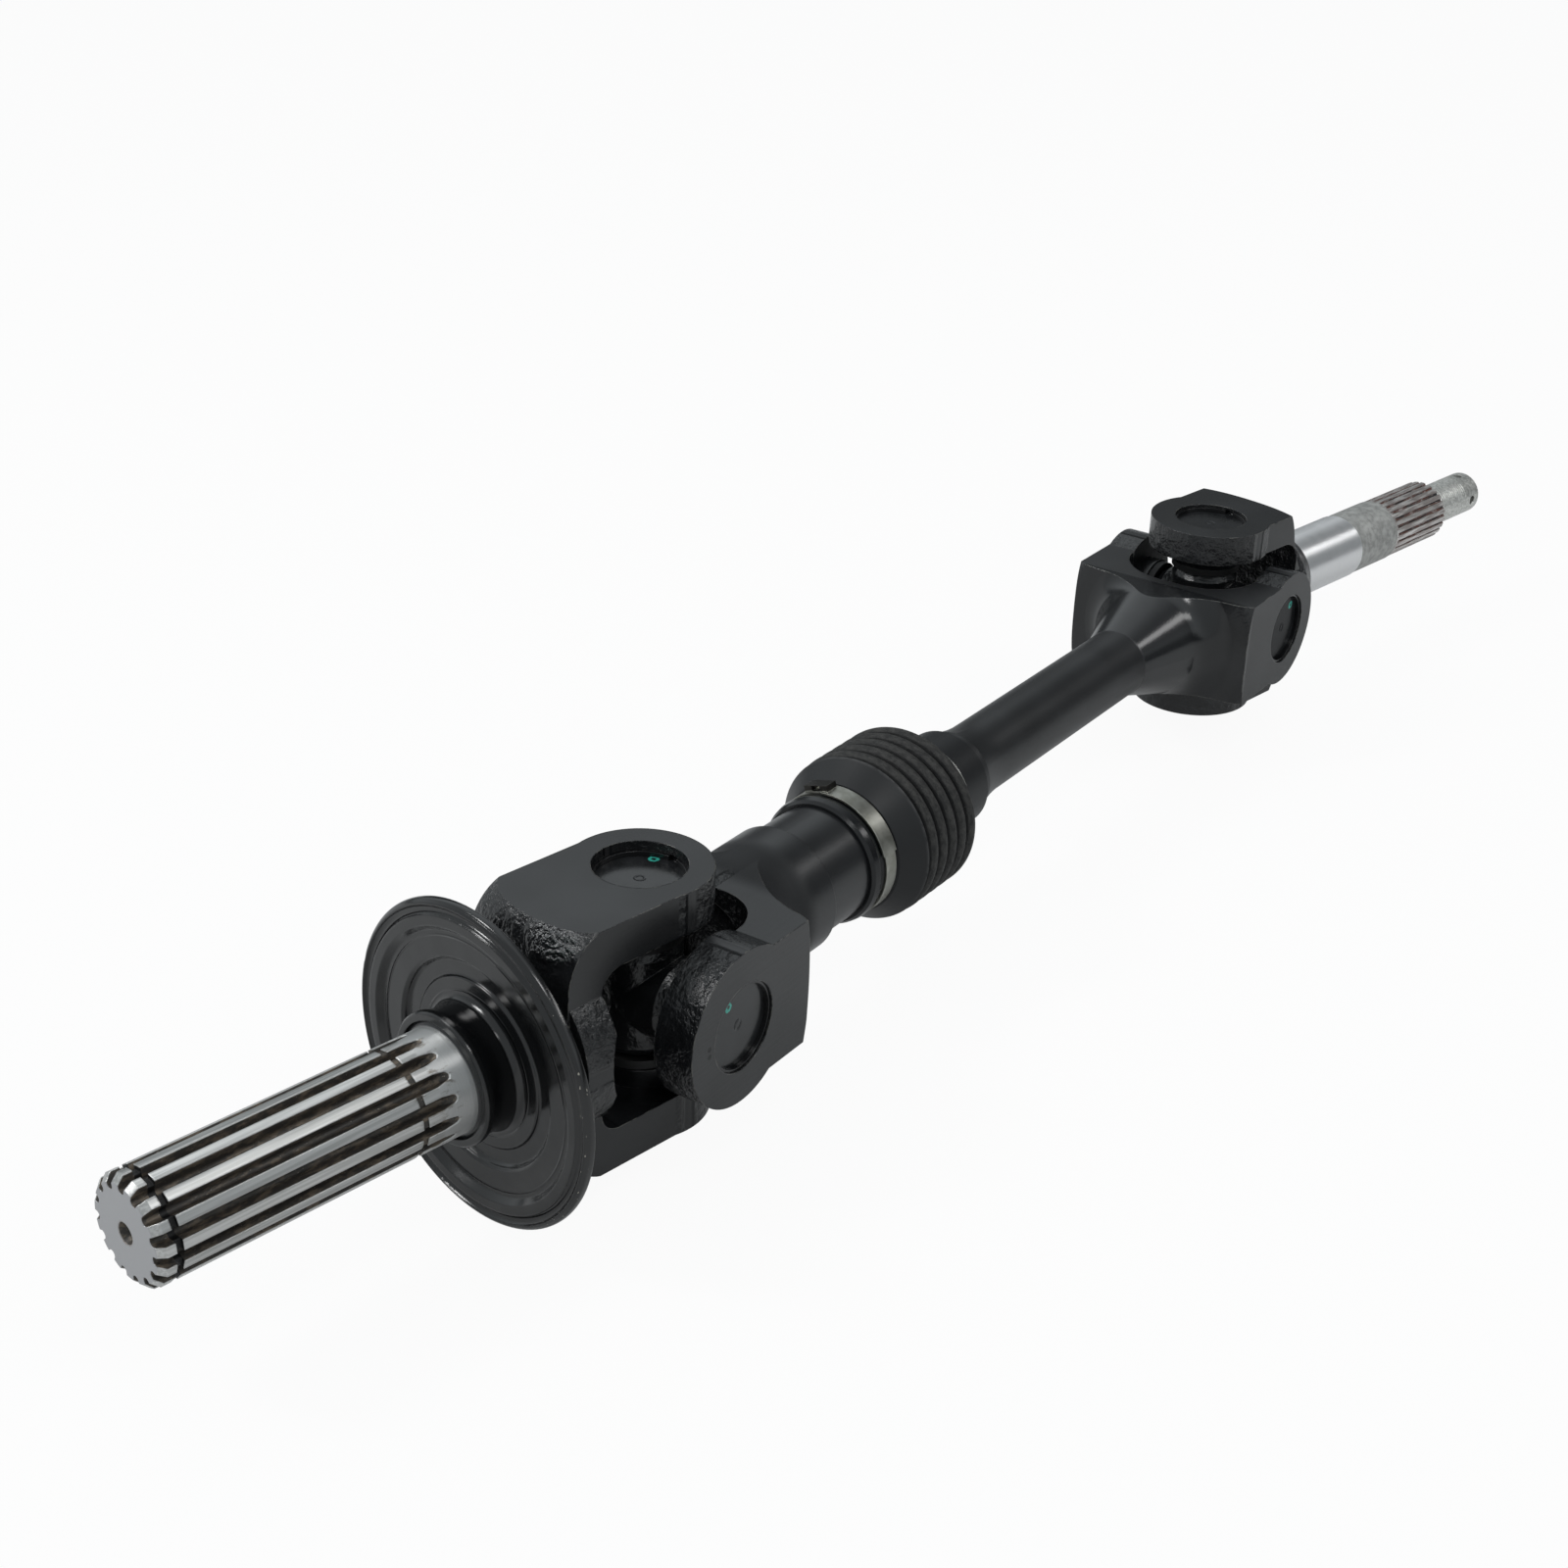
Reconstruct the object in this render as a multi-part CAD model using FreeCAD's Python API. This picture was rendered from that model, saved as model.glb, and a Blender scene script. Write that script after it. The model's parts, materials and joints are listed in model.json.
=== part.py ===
import FreeCAD, Part
import math
import os

os.makedirs("parts", exist_ok=True)

V = FreeCAD.Vector
X_AXIS = V(1, 0, 0)
Y_AXIS = V(0, 1, 0)
Z_AXIS = V(0, 0, 1)
HERE = V(0, 0, 0)

# Rear drive shaft lying as photographed. All sizes in mm.
# Three axes: inner stub, middle shaft along +X, outer stub. Both stubs are bent by the same angle.
bend_angle = 9.4
joint_spacing = 370.0

# Universal joint crosses and their needle bearings
cup_r = 14.0
cross_half_length = 35.5
cup_bottom = 2.5
cup_mouth = 20.8
trunnion_r = 9.2
needle_d = 2.4
needle_mouth_gap = 2.0
needle_end_gap = 0.4
running_gap = 0.04
end_play = 0.2
shoulder_r = 11.6
shoulder_height = 17.6
boss_r = 12.3
boss_half_length = 9.3
seal_r = 13.4
seal_gap = 0.3

# Room that each fork's base leaves for the ears of the other one
bend_limit = 18.4
ear_clearance = 0.4
corner_margin = 0.3

# Snap rings that hold the cups in the ears
clip_thickness = 1.5
clip_groove_depth = 1.0
clip_width = 1.9
clip_mouth_angle = 16.0
clip_side_gap = 0.05

# Inner stub: fork, shield seat and wide-tooth spline
inner_ear_height = 40.1
inner_ear_inside = 26.6
inner_half_width = 21.1
inner_tip_r = 21.6
inner_throat = 33.5
inner_corner_r = 7.0
inner_disc_r = 29.0
inner_disc_back = 45.8
inner_web_end = 57.5
inner_hub_r = 22.5
inner_flare_length = 5.0
inner_flare_rise = 7.0
inner_round_length = 15.0
inner_round_rise = 12.3
seat_r = 17.4
collar_r = 15.73
collar_start = 73.5
inner_end = 171.5
inner_teeth = 15
inner_root_r = 11.8
inner_groove_share = 0.6
inner_runout_start = 84.0
inner_runout_end = 79.0
relief_at = 90.3
relief_width = 1.9
relief_depth = 0.7
ring_groove_at = 165.8
ring_groove_width = 2.1
ring_groove_depth = 1.5
end_chamfer = 2.1
centre_drill_r = 3.2
centre_drill_depth = 6.0

# Pressed steel dust shield, drawn in one piece with its hub
shield_r = 48.9
shield_sheet = 1.4
hub_lip_r = 19.9
hub_lip_width = 2.4
shield_fillet = 2.6
dish_x = 58.6
foot_r = 25.2
foot_height = 0.9
first_flat_share = 0.34746
trough_gap = 3.0
step_height = 1.9
step_run = 1.7
rim_flat = 1.6
trough_depth = 1.2
trough_half_width = 1.5
rim_curl = 1.6
notch_r = 7.0
notch_depth = 1.1
notch_angle = 18.0

# Slip yoke: fork, neck collar and internally splined tube
slip_ear_height = 37.7
slip_ear_inside = 24.4
slip_half_width = 20.9
slip_tip_r = 24.8
slip_throat = 29.9
slip_corner_r = 15.5
slip_flare_r = 21.0
slip_back = 32.4
slip_edge = 2.4
neck_start = 57.0
neck_end = 71.5
neck_r = 21.5
tube_r = 19.55
tube_end = 131.0
slip_teeth = 18
slip_major_r = 15.0
slip_minor_r = 13.7
slip_fit = 0.06
slip_tooth_root = 2.7
slip_tooth_tip = 2.1
bore_relief_end = 76.0
plug_seat_r = 16.4
plug_at = 36.0
plug_thickness = 1.6
plug_rise = 2.2

# Bellows between the tube and the shaft
boot_start = 93.2
boot_lip_r = 21.8
boot_band_r = 21.0
boot_band_start = 98.5
boot_band_end = 106.2
boot_wall = 1.7
shoulder_end = 115.6
bellows_r = 28.7
crease_r = 26.3
crown = 0.9
convolutions = 5
bellows_end = 144.6
boot_neck_start = 148.6
small_band_start = 153.2
small_band_end = 157.4
small_cuff_r = 17.5
boot_end = 172.0
boot_seat_gap = 0.05

# Band clamps
clamp_sheet = 0.7
clamp_step = 1.4
clamp_overlap_start = 18.0
clamp_overlap_end = 100.0
clamp_ear_length = 9.0
clamp_ear_height = 1.9
clamp_side_gap = 0.3

# Slim shaft with the cone fork
male_start = 84.0
seat_start = 152.0
cuff_seat_r = 15.2
seat_end = 176.0
slim_r = 13.07
slim_start = 194.0
cone_start = 74.5
cone_end = 48.5
cone_end_r = 21.2
shaft_ear_height = 37.7
shaft_ear_inside = 26.4
shaft_half_width = 20.4
shaft_tip_r = 23.0
shaft_throat = 32.0
shaft_corner_r = 22.0
shaft_back = 37.8
shaft_web_rise = 11.0
shaft_round_length = 4.6
shaft_round_rise = 7.3

# Outer stub: fork, bearing journal, spline and thread
outer_ear_height = 38.2
outer_ear_inside = 26.4
outer_half_width = 21.5
outer_tip_r = 23.6
outer_throat = 33.0
outer_corner_r = 10.0
outer_disc_r = 25.0
outer_disc_back = 40.0
outer_back = 29.4
outer_web_start = 44.0
outer_web_rise = 3.5
outer_round_length = 5.0
outer_round_rise = 10.0
outer_base_end = 55.5
outer_base_r = 17.6
journal_r = 13.63
journal_end = 100.0
plain_r = 13.3
plain_end = 128.3
outer_spline_r = 13.05
outer_spline_end = 169.3
outer_teeth = 24
outer_root_r = 11.8
outer_groove_share = 0.46
thread_r = 9.1
thread_relief_r = 8.0
thread_start = 173.0
outer_end = 207.0
nose_chamfer = 2.2
cotter_r = 2.0
cotter_at = 199.5

CLIP_R = cup_r + clip_groove_depth
RACE_R = trunnion_r + needle_d + running_gap
TROUGH_R = shield_r - rim_flat - trough_half_width
SECOND_STEP_R = TROUGH_R - trough_half_width - trough_gap - step_run
FOOT_END = foot_r + foot_height
FIRST_STEP_R = FOOT_END + first_flat_share * (SECOND_STEP_R - step_run - FOOT_END)


def cyl(radius, length, at, direction):
    return Part.makeCylinder(radius, length, at, direction)


def rod(radius, x0, x1):
    return cyl(radius, x1 - x0, V(x0, 0, 0), X_AXIS)


def ring(outer_r, inner_r, x0, x1):
    return rod(outer_r, x0, x1).cut(rod(inner_r, x0 - 1, x1 + 1))


def turned(points):
    """Solid of revolution about X from (x, radius) points."""
    wire = Part.makePolygon([V(x, 0, r) for x, r in points + points[:1]])
    return Part.Face(wire).revolve(HERE, X_AXIS, 360)


def turned_edges(edges):
    """Solid of revolution about X from a closed chain of edges."""
    return Part.Face(Part.Wire(edges)).revolve(HERE, X_AXIS, 360)


def line(x0, r0, x1, r1):
    return Part.makeLine(V(x0, 0, r0), V(x1, 0, r1))


def arc(x0, r0, xm, rm, x1, r1):
    return Part.Arc(V(x0, 0, r0), V(xm, 0, rm), V(x1, 0, r1)).toShape()


def outline(*pieces):
    """Edges joined end to start: each piece is a (x, r) corner or a (mid, end) arc pair."""
    edges = []
    first = pieces[0]
    here = first
    for piece in pieces[1:] + (first,):
        if isinstance(piece[0], tuple):
            mid, end = piece
            edges.append(arc(here[0], here[1], mid[0], mid[1], end[0], end[1]))
            here = end
        else:
            if abs(here[0] - piece[0]) + abs(here[1] - piece[1]) > 1e-6:
                edges.append(line(here[0], here[1], piece[0], piece[1]))
            here = piece
    return edges


def swell(start, end, x_share, r_share):
    """Arc for outline() up to the end point, through the point at these shares of the way from the start."""
    mid = (start[0] + (end[0] - start[0]) * x_share, start[1] + (end[1] - start[1]) * r_share)
    return mid, end


def turn_x(shape, angle):
    out = shape.copy()
    out.rotate(HERE, X_AXIS, angle)
    return out


def turn_z(shape, angle):
    out = shape.copy()
    out.rotate(HERE, Z_AXIS, angle)
    return out


def placed(shape, x):
    out = shape.copy()
    out.translate(V(x, 0, 0))
    return out


def around(shape, count, step):
    return [turn_x(shape, i * step) for i in range(count)]


def spline_groove(count, share, root_r, tip_r, x0, x1, runout):
    """One tooth space with a rounded bottom, open at x1, that fades out beyond x0 by the runout length."""
    top = tip_r + 1.0
    half = math.pi / count * share
    lower = math.sin(half * 0.8) * root_r
    upper = math.sin(half) * top
    rise = lower * 0.6

    def section(x, lift):
        low = root_r + lift
        left, bottom, right = V(x, -lower, low + rise), V(x, 0, low), V(x, lower, low + rise)
        walls = Part.makePolygon([right, V(x, upper, top + lift), V(x, -upper, top + lift), left]).Edges
        return Part.Wire([Part.Arc(left, bottom, right).toShape()] + walls)
    body = Part.Face(section(x0, 0)).extrude(V(x1 - x0, 0, 0))
    if runout == 0:
        return body
    fade = Part.makeLoft([section(x0, 0), section(x0 + runout, tip_r - root_r + 0.05)], True)
    return body.fuse(fade)


def spline_teeth(count, root_r, tip_r, root_width, tip_width, x0, x1):
    """Straight-sided teeth standing on a round root, to fuse to a shaft or cut from a bore."""
    low = root_r - 1.0
    root = root_width / 2
    tip = tip_width / 2
    pts = [V(x0, -root, low), V(x0, -root, root_r), V(x0, -tip, tip_r), V(x0, tip, tip_r),
           V(x0, root, root_r), V(x0, root, low)]
    tooth = Part.Face(Part.makePolygon(pts + pts[:1])).extrude(V(x1 - x0, 0, 0))
    return around(tooth, count, 360.0 / count)


def fork(height, inside, half_width, tip_r, throat, corner_r, disc_r, disc_back, rival_tip_r, envelope):
    """Fork with its ears up and down, its base towards -X and the joint at the origin."""
    base = min(vertex.X for edge in envelope for vertex in edge.Vertexes)
    plan = Part.makeBox(-base, 2 * half_width, 2 * height, V(base, -half_width, -height))
    tip = cyl(tip_r, 2 * height, V(0, 0, -height), Z_AXIS)
    body = plan.fuse(tip).common(turned_edges(envelope))
    body = body.fuse(rod(disc_r, -disc_back, -throat))
    body = body.cut(throat_cut(inside, throat, corner_r, height)).cut(rival_room(rival_tip_r, height))
    body = body.cut(cyl(cup_r, 2 * height + 2, V(0, 0, -height - 1), Z_AXIS))
    for side in (1, -1):
        low = min(side * cross_half_length, side * (cross_half_length + clip_thickness + clip_side_gap))
        body = body.cut(cyl(CLIP_R, clip_thickness + clip_side_gap, V(0, 0, low), Z_AXIS))
    return body


def throat_cut(inside, depth, corner_r, height):
    """Slot between the ears, with rounded corners at its bottom."""
    wide = 4 * height
    far = 2 * height
    shoulder = -depth + corner_r
    low = inside - corner_r
    cut = Part.makeBox(far - shoulder, wide, 2 * inside, V(shoulder, -wide / 2, -inside))
    web = Part.makeBox(corner_r, wide, 2 * low, V(-depth, -wide / 2, -low))
    cut = cut.fuse(web)
    for side in (1, -1):
        cut = cut.fuse(cyl(corner_r, wide, V(shoulder, -wide / 2, side * low), Y_AXIS))
    return cut.removeSplitter()


def rival_room(rival_tip_r, height):
    """Room for the two ears of the other fork, bent to the limit towards this fork's base."""
    lean = math.radians(bend_limit)
    ways = [V(-math.sin(lean), side * math.cos(lean), 0) for side in (1, -1)]
    return [cyl(rival_tip_r + ear_clearance, 2 * height, way * (height / 3), way) for way in ways]


def ear_corner_r(height, half_width):
    """Radius, about the shaft's axis, of the outer corners of an ear."""
    return math.hypot(height, half_width) + corner_margin


def inner_stub_yoke():
    corner = ear_corner_r(inner_ear_height, max(inner_half_width, inner_tip_r))
    back = -inner_disc_back
    flare = (back - inner_flare_length, inner_hub_r)
    face_low = (back, inner_hub_r + inner_flare_rise)
    face_high = (back + 0.3, corner - inner_round_rise)
    rounded = (back + inner_round_length, corner)
    envelope = outline(
        (-inner_web_end, 0), (-inner_web_end, inner_hub_r), flare, swell(flare, face_low, 0.68, 0.34),
        face_high, swell(face_high, rounded, 0.25, 0.57), (2 * inner_tip_r, corner), (2 * inner_tip_r, 0))
    body = fork(inner_ear_height, inner_ear_inside, inner_half_width, inner_tip_r, inner_throat,
                inner_corner_r, inner_disc_r, inner_disc_back - 0.5, slip_tip_r, envelope)
    stub = turned([(-inner_end, 0), (-inner_end, collar_r - end_chamfer),
                   (-inner_end + end_chamfer, collar_r), (-collar_start, collar_r),
                   (-collar_start + 1, seat_r), (-inner_web_end, seat_r),
                   (-inner_web_end, inner_hub_r), (-inner_throat - 3, inner_hub_r),
                   (-inner_throat - 3, 0)])
    ring_cut = ring(collar_r + 1, collar_r - ring_groove_depth, -ring_groove_at - ring_groove_width / 2,
                    -ring_groove_at + ring_groove_width / 2)
    relief = ring(collar_r + 1, collar_r - relief_depth, -relief_at - relief_width / 2,
                  -relief_at + relief_width / 2)
    length = inner_end + 1 - inner_runout_start
    groove = spline_groove(inner_teeth, inner_groove_share, inner_root_r, collar_r,
                           -inner_runout_start, -inner_runout_start - length, 0)
    fade = spline_groove(inner_teeth, inner_groove_share, inner_root_r, collar_r,
                         -inner_runout_start, -inner_runout_start - 1,
                         inner_runout_start - inner_runout_end)
    tool = groove.fuse(fade)
    stub = stub.cut(around(tool, inner_teeth, 360.0 / inner_teeth))
    stub = stub.cut(ring_cut).cut(relief)
    drill = turned([(-inner_end - 1, 0), (-inner_end - 1, centre_drill_r), (-inner_end, centre_drill_r),
                    (-inner_end + centre_drill_depth, 0)])
    return body.fuse(stub.cut(drill)).removeSplitter()


def dust_shield():
    """Hub sleeve pressed on the stub, flaring into a stepped dish with a troughed, curled rim."""
    t = shield_sheet
    inner = seat_r + 0.02
    x_lip = -collar_start
    x_dish = -dish_x
    x_foot = x_dish - foot_height
    x_mid = x_dish - step_height
    x_rim = x_mid - step_height
    f = shield_fillet
    w = trough_half_width
    root = inner + t
    front = [
        (x_lip, inner), (x_lip, hub_lip_r - 0.6), (x_lip + 0.6, hub_lip_r),
        (x_lip + hub_lip_width, hub_lip_r), (x_lip + hub_lip_width + 0.8, root), (x_foot - t - f, root),
        ((x_foot - t - f * 0.29, root + f * 0.29), (x_foot - t, root + f)),
        (x_foot - t, foot_r), (x_dish - t, foot_r + foot_height),
        (x_dish - t, FIRST_STEP_R), (x_mid - t, FIRST_STEP_R + step_run),
        (x_mid - t, SECOND_STEP_R), (x_rim - t, SECOND_STEP_R + step_run),
        (x_rim - t, TROUGH_R - w), ((x_rim - t + trough_depth, TROUGH_R), (x_rim - t, TROUGH_R + w)),
        ((x_rim - t * 0.4, shield_r - rim_curl * 0.2), (x_rim + rim_curl, shield_r))]
    rear = [
        (x_rim + rim_curl, shield_r - t), (x_rim + trough_depth, TROUGH_R + w * 0.4),
        (x_rim + trough_depth, TROUGH_R - w * 0.4), (x_rim, TROUGH_R - w - 0.6),
        (x_rim, SECOND_STEP_R + step_run + 0.6), (x_mid, SECOND_STEP_R + 0.6),
        (x_mid, FIRST_STEP_R + step_run + 0.6), (x_dish, FIRST_STEP_R + 0.6),
        (x_dish, foot_r + foot_height + 0.4), (x_foot, foot_r + 0.4),
        (x_foot, root + f * 0.5), (-inner_web_end, inner + t * 1.1), (-inner_web_end, inner)]
    dish = turned_edges(outline(*front, *rear))
    reach = shield_r + notch_r - notch_depth
    angle = math.radians(notch_angle)
    centre = V(x_rim - 2 * t, reach * math.cos(angle), reach * math.sin(angle))
    return dish.cut(cyl(notch_r, 4 * t + rim_curl, centre, X_AXIS))


def slip_yoke():
    corner = ear_corner_r(slip_ear_height, max(slip_half_width, slip_tip_r))
    flare_start = slip_back + slip_flare_r
    half = slip_flare_r * math.sin(math.radians(45))
    flare_end = (-slip_back, neck_r + slip_flare_r - slip_edge)
    envelope = outline(
        (-neck_start - 2, 0), (-neck_start - 2, neck_r), (-flare_start, neck_r),
        ((-flare_start + half, neck_r + slip_flare_r - half), flare_end),
        (-slip_back + slip_edge, corner), (2 * slip_tip_r, corner), (2 * slip_tip_r, 0))
    body = fork(slip_ear_height, slip_ear_inside, slip_half_width, slip_tip_r, slip_throat,
                slip_corner_r, neck_r, neck_start, inner_tip_r, envelope)
    body = turn_z(turn_x(body, 90), 180)
    tube = turned([(neck_start - 4, 0), (neck_start - 4, neck_r - 1), (neck_start - 3, neck_r),
                   (neck_end, neck_r), (neck_end + 1.6, tube_r), (tube_end - 1, tube_r),
                   (tube_end, tube_r - 1), (tube_end, 0)])
    body = body.fuse(tube).cut(rod(slip_minor_r + slip_fit, 0, tube_end + 1))
    body = body.cut(rod(slip_major_r + 2 * slip_fit, 0, bore_relief_end))
    body = body.cut(rod(plug_seat_r, 0, plug_at + plug_thickness))
    spaces = spline_teeth(slip_teeth, slip_minor_r + slip_fit, slip_major_r + slip_fit,
                          slip_tooth_root + 2 * slip_fit, slip_tooth_tip + 2 * slip_fit,
                          bore_relief_end - 1, tube_end + 1)
    return body.cut(spaces).removeSplitter()


def slip_yoke_plug():
    """Domed sealing plug pressed into the fork end of the slip yoke's bore."""
    r = plug_seat_r - 0.02
    x0 = plug_at
    x1 = plug_at + plug_thickness
    dome_r = r - 2.5
    return turned_edges(outline(
        (x0 - plug_rise, 0), ((x0 - plug_rise * 0.75, dome_r / 2), (x0, dome_r)), (x0, r), (x1, r), (x1, 0)))


def shaft_yoke():
    """Male spline, bellows seat, slim shaft and cone fork, forged and welded as one piece."""
    corner = ear_corner_r(shaft_ear_height, max(shaft_half_width, shaft_tip_r))
    back = -shaft_back
    cone_top = (-cone_end, cone_end_r)
    web_top = (back - 0.6, cone_end_r + shaft_web_rise)
    face_high = (back, corner - shaft_round_rise)
    rounded = (back + shaft_round_length, corner)
    envelope = outline(
        (-cone_start, 0), (-cone_start, slim_r), cone_top, swell(cone_top, web_top, 0.64, 0.36),
        face_high, swell(face_high, rounded, 0.35, 0.6), (2 * shaft_tip_r, corner), (2 * shaft_tip_r, 0))
    body = fork(shaft_ear_height, shaft_ear_inside, shaft_half_width, shaft_tip_r, shaft_throat,
                shaft_corner_r, slim_r, shaft_throat + 8, outer_tip_r, envelope)
    body = placed(turn_x(body, 90), joint_spacing)
    fillet_run = slim_start - seat_end
    drop = cuff_seat_r - slim_r
    shaft_end = joint_spacing - cone_end
    shaft = turned_edges(outline(
        (male_start, 0), (male_start, slip_minor_r - 1), (male_start + 1, slip_minor_r),
        (seat_start - 3, slip_minor_r), (seat_start, cuff_seat_r), (seat_end, cuff_seat_r),
        ((seat_end + fillet_run * 0.4, cuff_seat_r - drop * 0.72), (slim_start, slim_r)),
        (shaft_end, slim_r), (shaft_end, 0)))
    teeth = spline_teeth(slip_teeth, slip_minor_r, slip_major_r, slip_tooth_root, slip_tooth_tip,
                         male_start + 1, seat_start - 1)
    return body.fuse(shaft.fuse(teeth)).removeSplitter()


def outer_stub_yoke():
    corner = ear_corner_r(outer_ear_height, max(outer_half_width, outer_tip_r))
    back = -outer_back
    web_foot = (-outer_web_start, outer_base_r + outer_web_rise)
    face_high = (back, corner - outer_round_rise)
    rounded = (back + outer_round_length, corner)
    envelope = outline(
        (-outer_base_end, 0), (-outer_base_end, outer_base_r - 2), (-outer_base_end + 2, outer_base_r),
        web_foot, swell(web_foot, face_high, 0.73, 0.49), swell(face_high, rounded, 0.32, 0.47),
        (2 * outer_tip_r, corner), (2 * outer_tip_r, 0))
    body = fork(outer_ear_height, outer_ear_inside, outer_half_width, outer_tip_r, outer_throat,
                outer_corner_r, outer_disc_r, outer_disc_back, shaft_tip_r, envelope)
    body = turn_z(body, 180)
    base = outer_throat + 6
    stub = turned([(base, 0), (base, outer_base_r), (outer_base_end - 2, outer_base_r),
                   (outer_base_end, outer_base_r - 2), (outer_base_end, journal_r),
                   (journal_end - 0.5, journal_r), (journal_end, plain_r),
                   (plain_end, plain_r), (plain_end + 0.3, outer_spline_r),
                   (outer_spline_end - 0.8, outer_spline_r), (outer_spline_end, outer_root_r),
                   (outer_spline_end, thread_relief_r), (thread_start, thread_relief_r),
                   (thread_start + 1, thread_r), (outer_end - nose_chamfer, thread_r),
                   (outer_end, thread_r - nose_chamfer), (outer_end, 0)])
    groove = spline_groove(outer_teeth, outer_groove_share, outer_root_r, outer_spline_r,
                           plain_end + 1.5, outer_spline_end + 1, 0)
    groove = turn_x(groove, 180.0 / outer_teeth)
    stub = stub.cut(around(groove, outer_teeth, 360.0 / outer_teeth))
    for direction in (Y_AXIS, Z_AXIS):
        start = V(cotter_at, 0, 0) - direction * (thread_r + 1)
        stub = stub.cut(cyl(cotter_r, 2 * thread_r + 2, start, direction))
    return body.fuse(stub).removeSplitter()


def cross():
    """Four trunnions on a forged body with a round boss along the shaft."""
    tip = cross_half_length - cup_bottom - end_play
    arm = turned([(0, 0), (0, shoulder_r + 1.2), (shoulder_height - 3, shoulder_r + 1.2),
                  (shoulder_height, shoulder_r - 0.6), (shoulder_height, trunnion_r),
                  (tip - 0.8, trunnion_r), (tip, trunnion_r - 0.8), (tip, 0)])
    body = rod(boss_r, -boss_half_length, boss_half_length)
    for angle in (0, 90, 180, 270):
        side = turn_z(arm, 90)
        body = body.fuse(turn_x(side, angle))
    return body.removeSplitter()


def bearing_cup():
    """Drawn cup along +Z, its closed end against the snap ring."""
    z0 = cup_mouth
    length = cross_half_length - z0
    cup = cyl(cup_r - 0.01, length, V(0, 0, z0), Z_AXIS)
    return cup.cut(cyl(RACE_R, length - cup_bottom, V(0, 0, z0), Z_AXIS))


def needle_set():
    """Needle rollers between the trunnion and the cup, joined as a thin-walled cage ring."""
    z0 = cup_mouth + needle_mouth_gap
    length = cross_half_length - cup_bottom - end_play - needle_end_gap - z0
    outer = cyl(RACE_R - running_gap / 2, length, V(0, 0, z0), Z_AXIS)
    return outer.cut(cyl(trunnion_r + running_gap / 2, length, V(0, 0, z0), Z_AXIS))


def trunnion_seal():
    z0 = shoulder_height + seal_gap
    z1 = cup_mouth
    body = cyl(seal_r, z1 - z0, V(0, 0, z0), Z_AXIS)
    return body.cut(cyl(trunnion_r + running_gap, z1 - z0, V(0, 0, z0), Z_AXIS))


def snap_ring():
    """Plain internal snap ring, open towards +X, seated in the ear's groove above the cup."""
    z0 = cross_half_length + clip_side_gap / 2
    outer_r = CLIP_R - clip_side_gap
    body = cyl(outer_r, clip_thickness, V(0, 0, z0), Z_AXIS)
    body = body.cut(cyl(CLIP_R - clip_width, clip_thickness, V(0, 0, z0), Z_AXIS))
    far = 2 * CLIP_R
    half = math.radians(clip_mouth_angle / 2)
    wedge = Part.makePolygon([V(0, 0, z0), V(far * math.cos(half), far * math.sin(half), z0),
                              V(far * math.cos(half), -far * math.sin(half), z0), V(0, 0, z0)])
    return body.cut(Part.Face(wedge).extrude(V(0, 0, clip_thickness)))


def boot():
    """Rubber bellows: large cuff, domed shoulder, convolutions, small cuff."""
    w = boot_wall
    b0 = boot_band_start
    b1 = boot_band_end
    pitch = (bellows_end - shoulder_end) / convolutions
    outer = [(boot_start, tube_r + 1.0), (boot_start + 1.2, boot_lip_r - 0.4), (b0 - 2, boot_lip_r),
             (b0 - 0.4, boot_lip_r - 0.3), (b0, boot_band_r), (b1, boot_band_r),
             (b1 + 0.6, boot_band_r + 1.4)]
    shoulder_rise = bellows_r - boot_band_r
    dome = ((b1 + (shoulder_end - b1) * 0.62, boot_band_r + shoulder_rise * 0.66),
            (shoulder_end - 0.5, bellows_r - 0.3))
    chain = outer + [dome]
    inside = []
    for i in range(convolutions):
        x = shoulder_end + i * pitch
        chain += [(x + pitch * 0.12, crease_r), (x + pitch * 0.22, crease_r),
                  (x + pitch * 0.32, bellows_r - crown),
                  ((x + pitch * 0.66, bellows_r), (x + pitch, bellows_r - crown))]
        inside += [(x + pitch * 0.17, crease_r - w), (x + pitch * 0.66, bellows_r - w - 0.4)]
    seat = cuff_seat_r + boot_seat_gap
    s0 = small_band_start
    s1 = small_band_end
    chain += [(boot_neck_start, small_cuff_r + 1.4), (s0 - 0.3, small_cuff_r + 0.2), (s0, small_cuff_r - 0.6),
              (s1, small_cuff_r - 0.6), (s1 + 0.3, small_cuff_r), (boot_end - 1.0, small_cuff_r - 0.2),
              (boot_end, small_cuff_r - 1.0), (boot_end, seat), (s0 - 2, seat),
              (boot_neck_start - 1.4, small_cuff_r + 0.2)]
    chain += inside[::-1]
    chain += [(shoulder_end - 1.5, bellows_r - w - 1.0), (b1 + 3.0, boot_band_r + 0.6),
              (b1 + 1.6, tube_r + boot_seat_gap), (boot_start, tube_r + boot_seat_gap)]
    return turned_edges(outline(*chain))


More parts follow.
